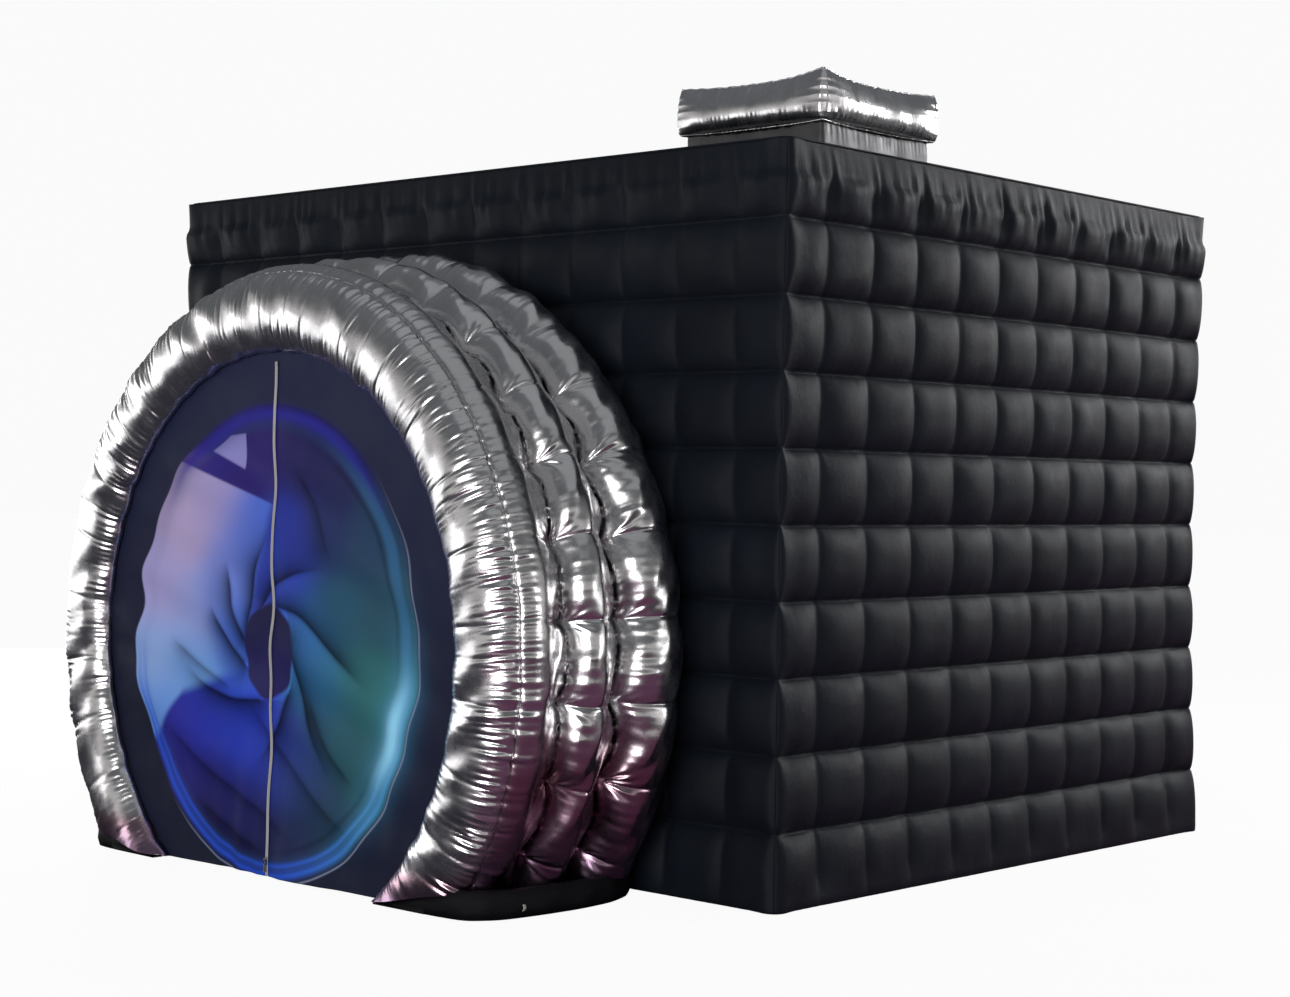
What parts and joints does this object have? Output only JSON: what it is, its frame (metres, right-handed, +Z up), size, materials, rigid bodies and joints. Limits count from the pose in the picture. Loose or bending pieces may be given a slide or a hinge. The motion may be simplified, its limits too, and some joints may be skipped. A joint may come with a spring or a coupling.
{
  "type": "inflatable camera-shaped photo booth",
  "caption": "Walk-in inflatable photo booth shaped like a camera: quilted black cube, arched silver lens tunnel with a printed zip door, silver cushion on the roof.",
  "frame": {"origin": "on the ground, at the centre of the whole footprint", "axes": "+Z up, +Y from the lens tunnel to the rear wall, +X to the side with the roof cushion"},
  "size_m": [3.25, 3.66, 2.92],
  "materials": {
    "black_oxford": "quilted coated Oxford cloth, soft sheen",
    "black_lining": "matt coated Oxford cloth",
    "web_fabric": "matt coated Oxford cloth",
    "ground_pvc": "PVC-coated strip",
    "silver_foil": "silver laminated cloth, gathered at the seams",
    "lens_print": "printed polyester",
    "pale_zip": "pale woven tape and nylon coil",
    "black_zip": "black woven tape and nylon coil",
    "pale_webbing": "woven webbing",
    "black_webbing": "woven webbing",
    "zinc": "nickel-plated zinc",
    "black_plastic": "moulded, fine texture",
    "grey_plastic": "moulded",
    "red_switch": "moulded, gloss",
    "motor_steel": "turned"
  },
  "bodies": {
    "booth": {"anchor_eyelets": "zinc", "anchor_tabs": "black_webbing", "base_loops": "pale_webbing", "blower_clamp_ring": "black_plastic", "blower_control_box": "black_plastic", "blower_flange": "black_plastic", "blower_housing": "black_plastic", "blower_intake_grille": "black_plastic", "blower_motor": "motor_steel", "blower_power_inlet": "motor_steel", "blower_screws": "motor_steel", "ceiling_skin": "black_lining", "door_curtain_left": "lens_print", "door_curtain_right": "lens_print", "front_ring_face": "silver_foil", "front_ring_side": "silver_foil", "front_wall_inner_skin": "black_lining", "front_wall_outer_skin": "black_oxford", "front_wall_webs": "web_fabric", "ground_strips": "ground_pvc", "left_wall_inner_skin": "black_lining", "left_wall_outer_skin": "black_oxford", "left_wall_webs": "web_fabric", "lens_base_trays": "black_oxford", "middle_ring_panel": "silver_foil", "rear_ring_panel": "silver_foil", "rear_wall_inner_skin": "black_lining", "rear_wall_outer_skin": "black_oxford", "rear_wall_webs": "web_fabric", "right_wall_inner_skin": "black_lining", "right_wall_outer_skin": "black_oxford", "right_wall_webs": "web_fabric", "ring_webs": "web_fabric", "roof_outer_skin": "black_oxford", "roof_webs": "web_fabric", "tunnel_liner": "black_lining", "vent_flap_binding": "black_oxford", "vent_zip_tape": "black_zip", "viewfinder_base_panel": "silver_foil", "viewfinder_cushion": "silver_foil", "viewfinder_plinth": "silver_foil", "zip_top_stop": "pale_webbing"},
    "door_flap_left": {"door_flap_left": "lens_print", "zip_tape_left": "pale_zip"},
    "door_flap_right": {"door_flap_right": "lens_print", "zip_tape_right": "pale_zip"},
    "zip_slider": {"zip_slider": "zinc"},
    "zip_pull": {"zip_pull": "zinc"},
    "impeller": {"blower_impeller": "grey_plastic", "blower_shaft": "motor_steel"},
    "switch": {"blower_switch": "red_switch"},
    "vent_slider": {"vent_zip_slider": "zinc"},
    "vent_flap": {"vent_storm_flap": "black_oxford"}
  },
  "joints": [
    {"name": "left_flap_fold", "type": "hinge", "parent": "booth", "child": "door_flap_left", "pos_m": [0, -1.749, 1.745], "axis": [-0.2856, 0, -0.9584], "range_deg": [0, 100]},
    {"name": "right_flap_fold", "type": "hinge", "parent": "booth", "child": "door_flap_right", "pos_m": [0, -1.749, 1.745], "axis": [-0.2856, 0, 0.9584], "range_deg": [0, 100]},
    {"name": "zip_slide", "type": "slide", "parent": "door_flap_left", "child": "zip_slider", "axis": [0, 0, 1], "range_m": [0, 1.57]},
    {"name": "pull_swing", "type": "hinge", "parent": "zip_slider", "child": "zip_pull", "pos_m": [0, -1.7588, 0.066], "axis": [-1, 0, 0], "range_deg": [0, 160]},
    {"name": "impeller_spin", "type": "hinge", "parent": "booth", "child": "impeller", "pos_m": [1.125, 1.7, 0.375], "axis": [0, 1, 0], "continuous": true},
    {"name": "switch_rock", "type": "hinge", "parent": "booth", "child": "switch", "pos_m": [0.963, 1.778, 0.397], "axis": [1, 0, 0], "range_deg": [0, 16]},
    {"name": "vent_slide", "type": "slide", "parent": "booth", "child": "vent_slider", "axis": [1, 0, 0], "range_m": [0, 0.56]},
    {"name": "vent_flap_lift", "type": "hinge", "parent": "booth", "child": "vent_flap", "pos_m": [-1, 1.773, 0.24], "axis": [1, 0, 0], "range_deg": [0, 120]}
  ],
  "couplings": [
    {"joint": "right_flap_fold", "follows": "left_flap_fold", "ratio": 1},
    {"joint": "zip_slide", "follows": "left_flap_fold", "m_per_rad": 0.8995}
  ]
}
